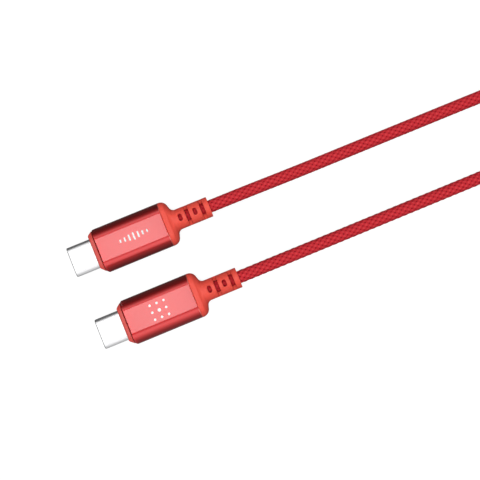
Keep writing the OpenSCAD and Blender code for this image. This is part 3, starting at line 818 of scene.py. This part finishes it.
@dataclass
class BraidedCord:
    """The one cord from plug to plug, its spare length coiled. Its route and coil are in millimetres."""

    diameter: float = 3.4 * MM
    held: float = 15.0 * MM
    coil_x: float = 131.0
    coil_y: float = -3.2
    coil_radius: float = 20.4
    coil_pitch: float = 3.9
    coil_turns: float = 6.5
    coil_layers: int = 4
    coil_start: float = 90.0
    climb_turns: float = 0.5
    points_a_turn: int = 24
    steps_a_run: int = 24
    held_steps: tuple[float, ...] = (0.33, 0.66, 1.0)
    carriers: int = 8
    lay_length: float = 15.0 * MM
    ring_step: float = 0.27 * MM
    sides: int = 48
    sleeve_dip: float = 0.18 * MM
    stretch_a: tuple[Point, ...] = (
        *((x, PLUG_Y, z) for x, z in LEAD_OUT),
        *((x, PLUG_Y, 1.7) for x in (48, 56, 64, 72, 80, 88, 95, 100)),
        (104, 10.6, 1.7), (108, 11.8, 1.7), (112, 13.7, 1.7), (116, 15.6, 1.7), (120, 16.8, 1.7),
        (124.2, 17.2, 1.7), (127.6, 17.2, 1.7),
    )
    stretch_b: tuple[Point, ...] = (
        (127.6, -23.6, 13.4), (124.2, -23.6, 13.4), (120.5, -23.3, 13.1), (117, -22.3, 12.3),
        (113.5, -20.8, 11), (110, -18.7, 9.1), (106.5, -16.1, 6.8), (103, -13.7, 4.8), (99.5, -12, 3.2),
        (96, -10.9, 2.2), (92.5, -10.3, 1.8),
        *((x, -PLUG_Y, 1.7) for x in (89, 84, 79, 72, 64, 56, 48)),
        *((x, -PLUG_Y, z) for x, z in LEAD_OUT[::-1]),
    )

    def coil_place(self, turns: float) -> tuple[float, float]:
        """Gives where the coiled cord is after some turns.

        Args:
            turns: how many turns.

        Returns:
            How far from the coil's centre and how high, in millimetres.
        """
        leg = self.coil_turns / self.coil_layers
        radius = self.coil_radius - self.coil_pitch * abs((turns + leg) % (2 * leg) - leg)
        climbs = eased((turns - leg * np.arange(1, self.coil_layers)) / self.climb_turns + 0.5)
        return radius, self.diameter / MM / 2 + self.coil_pitch * climbs.sum()

    def coil_points(self) -> list[Point]:
        """Gives the coil's points: in and out again, with a climb wherever the spiral reverses.

        Returns:
            The points, in millimetres.
        """
        points = []
        for step in range(int(self.coil_turns * self.points_a_turn) + 1):
            turns = step / self.points_a_turn
            angle = math.radians(self.coil_start - 360 * turns)
            radius, height = self.coil_place(turns)
            x, y = self.coil_x + radius * math.cos(angle), self.coil_y + radius * math.sin(angle)
            points.append((x, y, height))
        return points

    def centreline(self) -> np.ndarray:
        """Gives the cord's middle line, its held ends included.

        Returns:
            Points one ring step apart, in metres.
        """
        inside_a, inside_b = (
            [(end[0] - self.held / MM * part, end[1], end[2]) for part in self.held_steps]
            for end in (self.stretch_a[0], self.stretch_b[-1])
        )
        route = [*inside_a[::-1], *self.stretch_a, *self.coil_points(), *self.stretch_b, *inside_b]
        knots = np.array(route) * MM
        knots = np.vstack([2 * knots[0] - knots[1], knots, 2 * knots[-1] - knots[-2]])
        t = np.linspace(0, 1, self.steps_a_run, endpoint=False)
        shares = np.stack([eased(1 - t), t * (1 - t) ** 2, eased(t), t * t * (t - 1)], -1)
        runs = [
            shares @ np.array((two, (three - one) / 2, three, (four - two) / 2))
            for one, two, three, four in zip(knots, knots[1:], knots[2:], knots[3:])
        ]
        line = np.vstack([*runs, knots[-2:-1]])
        along = distances(line)
        count = int(round(along[-1] / self.ring_step))
        return read_off(np.linspace(0, along[-1], count + 1), along, line)

    def wind(self, mesh: Mesh, lead: np.ndarray) -> None:
        """Writes how the yarns wind round the mesh, which its finish reads.

        Args:
            mesh: the cord's mesh, ring by ring, with its two ends last.
            lead: how far the yarns have wound by each ring, in yarns.
        """
        here = np.arange(self.sides) / self.sides * self.carriers
        there = here + self.carriers / self.sides
        turns = np.broadcast_to(np.stack([here, there, there, here], -1), (len(lead) - 1, self.sides, 4))
        leads = np.stack([lead[:-1], lead[:-1], lead[1:], lead[1:]], -1)
        leads = np.broadcast_to(leads[:, None, :], turns.shape)
        corners = np.stack([turns, leads, np.zeros(turns.shape)], -1).reshape(-1)
        winding = np.zeros(3 * len(mesh.loops))
        winding[: len(corners)] = corners
        written = mesh.attributes.new("winding", "FLOAT_VECTOR", "CORNER")
        written.data.foreach_set("vector", winding.astype(np.float32))

    def build(self, tie: Object) -> None:
        """Args:
            tie: the strap that holds the coil; it is not used.
        """
        line = self.centreline()
        ahead = np.gradient(line, axis=0)
        ahead /= np.linalg.norm(ahead, axis=1)[:, None]
        side = np.cross((0, 0, 1), ahead)
        side /= np.linalg.norm(side, axis=1)[:, None]
        above = np.cross(ahead, side)
        around = np.arange(self.sides) * 2 * math.pi / self.sides
        along = np.arange(len(line)) * self.ring_step
        turn = around / (2 * math.pi) * self.carriers
        lead = along / self.lay_length * self.carriers
        radius = self.diameter / 2 - self.sleeve_dip + YARN.weave.height(turn[None, :], lead[:, None])
        out = side[:, None] * np.cos(around)[:, None] + above[:, None] * np.sin(around)[:, None]
        rings = line[:, None] + out * radius[..., None]
        mesh = grid_mesh("braided_cord", rings)
        self.wind(mesh, lead)
        cord = new_object("braided_cord", mesh)
        dress(cord, YARN)
        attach(cord, BODY)
        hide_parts("cord_a", "cord_coil", "cord_b", "braid_end_a", "braid_end_b")


@dataclass
class CoilTie:
    """The ribbed strap round all of the coil's turns, its end laid over its start, in millimetres."""

    cord: BraidedCord
    half_width: float = 4.0
    thickness: float = 0.5
    gap: float = 0.12
    under: float = -0.09
    start: float = -42.0
    overlap: float = 12.0
    lift_length: float = 3.0
    end_round: float = 2.4
    rib_pitch: float = 0.8
    rib_height: float = 0.06
    rings_a_rib: int = 8
    lap_gap: float = 0.06
    end_shrink: float = 0.75
    edge_thinning: float = 0.7
    edge_power: int = 8
    loop_points: int = 721
    stations: int = 13

    def loop(self, angle: float) -> tuple[np.ndarray, np.ndarray]:
        """Gives the tightest loop round the coil's turns at an angle round its centre.

        Args:
            angle: the angle from the +X side, in degrees.

        Returns:
            The loop's points and its outward directions, as pairs of radius and height in millimetres.
        """
        count = int(self.cord.coil_turns) + 1
        first = (self.cord.coil_start - angle) / 360
        middles = np.array([self.cord.coil_place(first + turn) for turn in range(count)])
        way = np.radians(self.start + np.linspace(0, 360, self.loop_points))
        out = np.stack([np.cos(way), np.sin(way)], -1)
        touched = np.argmax(out @ middles.T, axis=1)
        return middles[touched] + out * (self.cord.diameter / MM / 2 + self.gap), out

    def station(self, across: float, places: np.ndarray) -> tuple[np.ndarray, np.ndarray]:
        """Gives one line of the strap, once round and over itself.

        Args:
            across: the line's place over the strap's width, in millimetres.
            places: places along the strap, in millimetres.

        Returns:
            Its points and outward directions, as pairs of radius and height in millimetres.
        """
        middle = self.cord.coil_radius - self.cord.coil_pitch / 2
        points, out = self.loop(math.degrees(math.asin(across / middle)))
        along = distances(points)
        places = (places / self.round_length()) % 1.0 * along[-1]
        out = read_off(places, along, out)
        return read_off(places, along, points), out / np.linalg.norm(out, axis=1)[:, None]

    def round_length(self) -> float:
        """Gives the length of once round, in millimetres."""
        return float(distances(self.loop(0.0)[0])[-1])

    def build(self) -> Object:
        """Makes the strap.

        Returns:
            The strap.
        """
        once = self.round_length()
        count = int((once + self.overlap) / self.rib_pitch * self.rings_a_rib)
        places = np.linspace(0, once + self.overlap, count)
        lift = (self.thickness + self.lap_gap) * eased((places - once + self.lift_length) / self.lift_length)
        rib = 0.5 - 0.5 * np.cos(2 * math.pi * places / self.rib_pitch)
        to_end = np.minimum(places[-1] - places, self.end_round)
        shrink = np.sqrt(1 - self.end_shrink * (1 - to_end / self.end_round) ** 2)
        widths = np.linspace(-1, 1, self.stations)
        lines = [self.station(share * self.half_width, places) for share in widths]
        points, out = (np.stack(part, 1) for part in zip(*lines))
        edge = 0.5 * self.thickness * (1 - widths**self.edge_power * self.edge_thinning)
        faces = []
        for side in (1, -1):
            level = self.thickness / 2 + side * (edge + (rib[:, None] - 0.5) * self.rib_height)
            flat = points + out * (level + lift[:, None])[..., None]
            low = self.under + (self.thickness / 2 - side * edge)
            across = widths * self.half_width * shrink[:, None]
            flat[..., 1] = np.maximum(flat[..., 1], low)
            deep = np.sqrt(flat[..., 0] ** 2 - across**2)
            faces.append(np.stack([self.cord.coil_x + deep, self.cord.coil_y + across, flat[..., 1]], -1))
        rings = np.concatenate([faces[0], faces[1][:, ::-1]], 1) * MM
        mesh = grid_mesh("coil_tie", rings)
        height = np.repeat(rib, 2 * self.stations)
        mesh.attributes.new("rib", "FLOAT", "POINT").data.foreach_set("value", height.astype(np.float32))
        tie = new_object("coil_tie", mesh)
        dress(tie, RIBBON)
        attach(tie, BODY)
        log.info("coil_tie: %.1f mm once round", once)
        return tie


# ---- The plugs ----


@dataclass
class Relief:
    """The soft strain relief of one plug: spigot, shoulder and slotted neck."""

    end: End
    body_width: float = 12.3 * MM
    body_height: float = 6.4 * MM
    length: float = 12.7 * MM
    neck: float = 5.6 * MM
    shoulder_length: float = 3.8 * MM
    corner: float = 2.1 * MM
    blend: float = 1.35 * MM
    fall_start: float = 1.3 * MM
    fall_length: float = 1.0 * MM
    round_start: float = 1.2 * MM
    round_length: float = 1.6 * MM
    slot_first: float = 4.45 * MM
    slot_pitch: float = 2.1 * MM
    slot_width: float = 1.07 * MM
    slot_count: int = 4
    oval_length: float = 1.95 * MM
    window: float = 3.1 * MM
    web_drop: float = 1.0 * MM
    web_radius: float = 3.2 * MM
    bore: float = 3.5 * MM
    spigot: float = 2.2 * MM
    spigot_inset: float = 0.85 * MM
    seam: float = 0.02 * MM
    neck_lead: float = 0.1 * MM
    groove_reach: float = 0.6
    cut_past: tuple[float, float] = (4 * MM, 1 * MM)
    bore_points: int = 64
    oval_points: int = 32
    groove_points: int = 49
    voxel: float = 0.09 * MM
    softening: tuple[float, int] = (0.5, 4)
    stations: int = 72
    points: int = 128

    def half_width(self, place: float) -> float:
        """Gives the half width at a distance behind the sleeve.

        Args:
            place: the distance.

        Returns:
            The half width, which falls from the body's to the neck's.
        """
        neck, edge = self.neck / 2, self.body_width / 2
        flat = self.shoulder_length - self.blend - self.corner - self.neck_lead
        if place < flat:
            return edge
        if place < flat + self.corner:
            drop = math.sqrt(max(self.corner**2 - (place - flat) ** 2, 0))
            return max(edge - self.corner + drop, neck + self.blend)
        if place < self.shoulder_length:
            return neck + self.blend - math.sqrt(max(self.blend**2 - (self.shoulder_length - place) ** 2, 0))
        return neck

    def half_height(self, place: float) -> float:
        """Gives the half height at a distance behind the sleeve."""
        fallen = min(max((place - self.fall_start) / self.fall_length, 0.0), 1.0)
        return (self.body_height + (self.neck - self.body_height) * fallen * (2 - fallen)) / 2

    def section(self, place: float, width: float, height: float) -> np.ndarray:
        """Gives one closed section, flat-topped near the sleeve and oval towards the neck.

        Args:
            place: how far behind the sleeve it is.
            width: its half width.
            height: its half height.

        Returns:
            Its points.
        """
        aside, up = pill(2.0, 2.0, self.points).T
        flat = max(width - height, 0) * (1 - eased((place - self.round_start) / self.round_length))
        across = flat * np.sign(aside) + (width - flat) * aside
        return np.stack([np.full(self.points, place), across, height * up], -1)

    def build(self, sleeve_end: float, axis_y: float, axis_z: float) -> None:
        """Makes the relief and lets it stand for its plain solid.

        Args:
            sleeve_end: where the sleeve ends along X.
            axis_y: where the plug's axis is across.
            axis_z: how high the plug's axis is.
        """
        name = f"soft_relief_{self.end.value}"
        wide, high = self.body_width / 2 - self.spigot_inset, self.body_height / 2 - self.spigot_inset
        rings = [self.section(place, wide, high) for place in (-self.spigot, -self.seam)]
        places = np.linspace(0, self.shoulder_length, self.stations)
        rings += [self.section(place, self.half_width(place), self.half_height(place)) for place in places]
        rings.append(self.section(self.length, self.neck / 2, self.neck / 2))
        relief = new_object(name, grid_mesh(name, np.array(rings)))
        cutters = self.cutters()
        for cutter in cutters:
            cut = relief.modifiers.new(cutter.name, "BOOLEAN")
            cut.operation, cut.solver, cut.object = "DIFFERENCE", "EXACT", cutter
        remesh = relief.modifiers.new("skin", "REMESH")
        remesh.mode, remesh.voxel_size, remesh.use_smooth_shade = "VOXEL", self.voxel, True
        soften = relief.modifiers.new("soften", "SMOOTH")
        soften.factor, soften.iterations = self.softening
        apply_modifiers(relief)
        for cutter in cutters:
            bpy.data.objects.remove(cutter)
        relief.data.transform(Matrix.Translation((sleeve_end, axis_y, axis_z)))
        dress(relief, SOFT)
        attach(relief, BODY)
        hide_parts(f"strain_relief_{self.end.value}")
        log.info("%s: %d points", name, len(relief.data.vertices))

    def cutters(self) -> list[Object]:
        """Makes the bodies that are cut away: the bore, the oval openings and the wide ones.

        Returns:
            The bodies.
        """
        front, rear = self.cut_past
        tall, aside, half = self.body_height, self.neck * self.groove_reach, self.window / 2
        across = np.linspace(-aside, aside, self.groove_points)
        floor = np.sqrt(self.web_radius**2 - across**2) - (self.web_radius - self.neck / 2 + self.web_drop)
        bore = pill(self.bore, self.bore, self.bore_points)
        made = [self.cutter("bore", bore, (-front, self.length + rear), Way.ALONG)]
        for place in range(self.slot_count):
            middle = self.slot_first + place * self.slot_pitch
            if place % 2 == 0:
                outline = pill(self.slot_width, self.oval_length, self.oval_points) + (middle, 0)
                made.append(self.cutter(f"oval_{place}", outline, (-tall, tall), Way.DOWN))
                continue
            start, end = middle - self.slot_width / 2, middle + self.slot_width / 2
            for name, side in (("top", 1), ("under", -1)):
                edge = np.stack([across, side * floor], -1)
                outline = np.vstack([edge, [(aside, side * tall), (-aside, side * tall)]])
                made.append(self.cutter(f"{name}_{place}", outline, (start, end), Way.ALONG))
            window = np.array([(start, -half), (end, -half), (end, half), (start, half)])
            made.append(self.cutter(f"window_{place}", window, (-tall, tall), Way.DOWN))
        return made

    def cutter(self, name: str, outline: np.ndarray, reach: tuple[float, float], way: Way) -> Object:
        """Makes a prism.

        Args:
            name: what it cuts.
            outline: its outline, as pairs.
            reach: where it starts and ends.
            way: which way it runs.

        Returns:
            The prism, which isn't shown.
        """
        rings = np.array([np.insert(outline, way.value, place, axis=1) for place in reach])
        thing = new_object(f"cutter_{name}", grid_mesh(f"cutter_{name}", rings))
        thing.hide_render = True
        return thing


@dataclass
class PrintedMark:
    """A plain white print on a sleeve's flat top."""

    end: End
    mark: Mark
    middle: float
    thickness: float = 0.02 * MM
    bar_width: float = 0.44 * MM
    bar_pitch: float = 1.25 * MM
    bar_heights: tuple[float, ...] = (0.8, 1.2, 1.7, 2.1, 1.7, 1.2, 0.8)
    dot: float = 0.9 * MM
    dot_pitch: float = 1.95 * MM
    outer_dot: float = 0.72
    stroke_points: int = 20

    def build(self, axis_y: float, top: float) -> None:
        """Makes the print.

        Args:
            axis_y: where the plug's axis is across.
            top: how high the sleeve's flat top is.
        """
        work = bmesh.new()
        if self.mark is Mark.LEVEL_BARS:
            start = -(len(self.bar_heights) - 1) / 2 * self.bar_pitch
            for place, height in enumerate(self.bar_heights):
                self.stroke(work, start + place * self.bar_pitch, 0.0, self.bar_width, height * MM)
        else:
            for row in (-1, 0, 1):
                for column in (-1, 0, 1):
                    size = self.dot * (1.0 if row == 0 and column == 0 else self.outer_dot)
                    self.stroke(work, column * self.dot_pitch, row * self.dot_pitch, size, size)
        name = f"print_{self.end.value}"
        data = kept_mesh(name, work)
        data.transform(Matrix.Translation((self.middle, axis_y, top)))
        mark = new_object(name, data)
        dress(mark, INK)
        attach(mark, BODY)
        log.info("%s: %s", name, self.mark.value)

    def stroke(self, work: bmesh.types.BMesh, x: float, y: float, width: float, height: float) -> None:
        """Adds one stroke with round ends.

        Args:
            work: the mesh that it goes into.
            x: its middle along the plug.
            y: its middle across.
            width: its width along the plug.
            height: its height across.
        """
        outline = pill(width, height, self.stroke_points) + (x, y)
        low, high = (
            [work.verts.new((*point, level)) for point in outline] for level in (0.0, self.thickness)
        )
        work.faces.new(high)
        work.faces.new(low[::-1])
        for place, corner in enumerate(low):
            work.faces.new((low[place - 1], corner, high[place], high[place - 1]))


@dataclass
class Plug:
    """One plug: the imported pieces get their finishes, and the soft relief and the print are made."""

    end: End
    mark: Mark
    mark_middle: float
    rim_start: float = 0.16 * MM
    rim_full: float = 0.112 * MM
    rim_share: float = 0.6
    finishes: dict[str, Finish] = field(default_factory=lambda: {
        "usb_shell": STEEL, "contact_housing": INSULATOR, "upper_contacts": GOLD, "lower_contacts": GOLD,
        "latch_plate": SPRING, "ground_springs": SPRING, "nose_collar": COLLAR, "inner_mould": PALE,
        "shield_can": SPRING, "paddle_board": BOARD, "marker_chip": INSULATOR, "board_parts": PARTS,
        "core_wires": WIRES, "crimp_ring": GOLD, "shield_braid": COPPER, "inner_jacket": JACKET,
    })

    def build(self) -> None:
        """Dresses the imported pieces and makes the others."""
        for piece, finish in self.finishes.items():
            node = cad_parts.get(f"{piece}_{self.end.value}")
            if node is not None:
                dress(node, finish)
                log.info("%s: %s", node.name, finish.name)
        low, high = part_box(f"sleeve_{self.end.value}")
        # Painted highlight along the sleeve's rear rim.
        rim_highlight = Band(high.x - self.rim_start, high.x - self.rim_full, RIM_HIGHLIGHT_COLOUR, share_after=self.rim_share)
        sleeve = Finish(
            "red_anodised", (0.745, 0.009, 0.011), 0.38, metallic=1.0, mottle=0.02, gloss_swing=0.008,
            grain_size=0.05 * MM, grain_depth=0.0006 * MM, band=rim_highlight, sockets=SLEEVE_SOCKETS,
        )
        dress(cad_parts[f"sleeve_{self.end.value}"], sleeve)
        axis_y, axis_z = (low.y + high.y) / 2, (low.z + high.z) / 2
        Relief(self.end).build(high.x, axis_y, axis_z)
        PrintedMark(self.end, self.mark, self.mark_middle).build(axis_y, high.z)


def main() -> None:
    """Builds the camera, the cord, the plugs and the stage in order."""
    TableCamera().build()
    cord = BraidedCord()
    cord.build(CoilTie(cord).build())
    Plug(End.A, Mark.LEVEL_BARS, mark_middle=-1.6 * MM).build()
    Plug(End.B, Mark.DOT_GRID, mark_middle=-2.6 * MM).build()
    LightTable().build()


if __name__ == "__main__":
    main()
